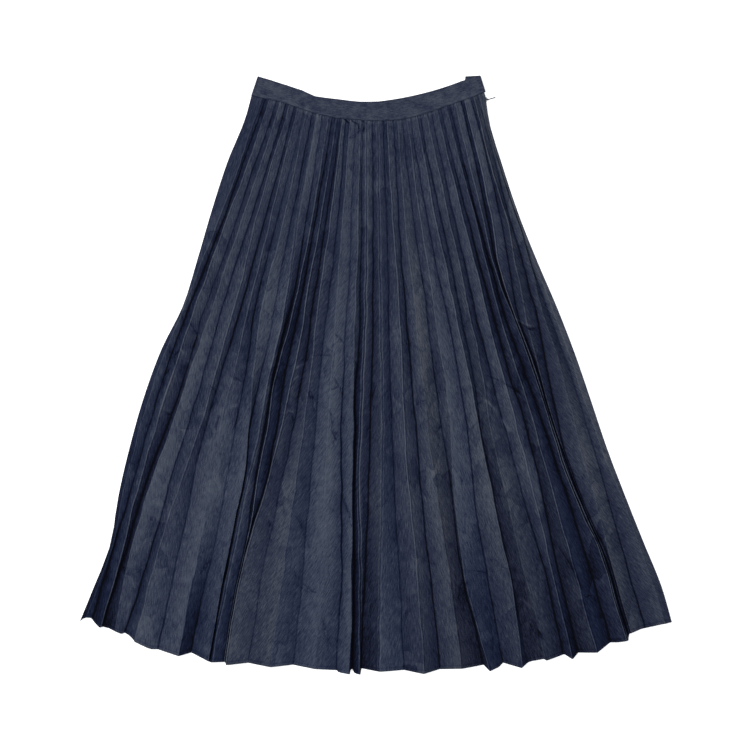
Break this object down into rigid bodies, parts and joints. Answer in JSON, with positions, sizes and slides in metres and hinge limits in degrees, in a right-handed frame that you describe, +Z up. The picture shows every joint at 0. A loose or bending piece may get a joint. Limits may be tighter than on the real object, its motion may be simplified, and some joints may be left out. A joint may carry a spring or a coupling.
{
  "type": "pleated denim maxi skirt",
  "caption": "Long skirt of thin dark denim, laid flat, with a narrow waistband, narrow pleats that fan out to a wide hem, and a zip in the left side seam.",
  "frame": {"origin": "centre of the laid skirt's bounding box, on the surface it lies on", "axes": "+Z up from the surface, +Y towards the waistband, +X towards the wearer's left side with the zip"},
  "size_m": [0.9408, 0.957, 0.0123],
  "materials": {
    "denim": "dark indigo denim, soft and dull",
    "denim_band": "the same denim, doubled and pressed",
    "zip_coil": "dark moulded teeth",
    "zip_metal": "dark enamel"
  },
  "bodies": {
    "skirt": {"front_panel": "denim", "back_panel": "denim", "waistband_front": "denim_band", "waistband_back": "denim_band", "zip_coil": "zip_coil", "zip_slider": "zip_metal"},
    "zip_pull_tab": {"zip_pull": "zip_metal"}
  },
  "joints": [
    {"name": "zip_pull_swing", "type": "hinge", "parent": "skirt", "child": "zip_pull_tab", "pos_m": [0.1785, 0.4398, 0.0028], "axis": [0, 0, 1], "range_deg": [-84, 80]}
  ]
}
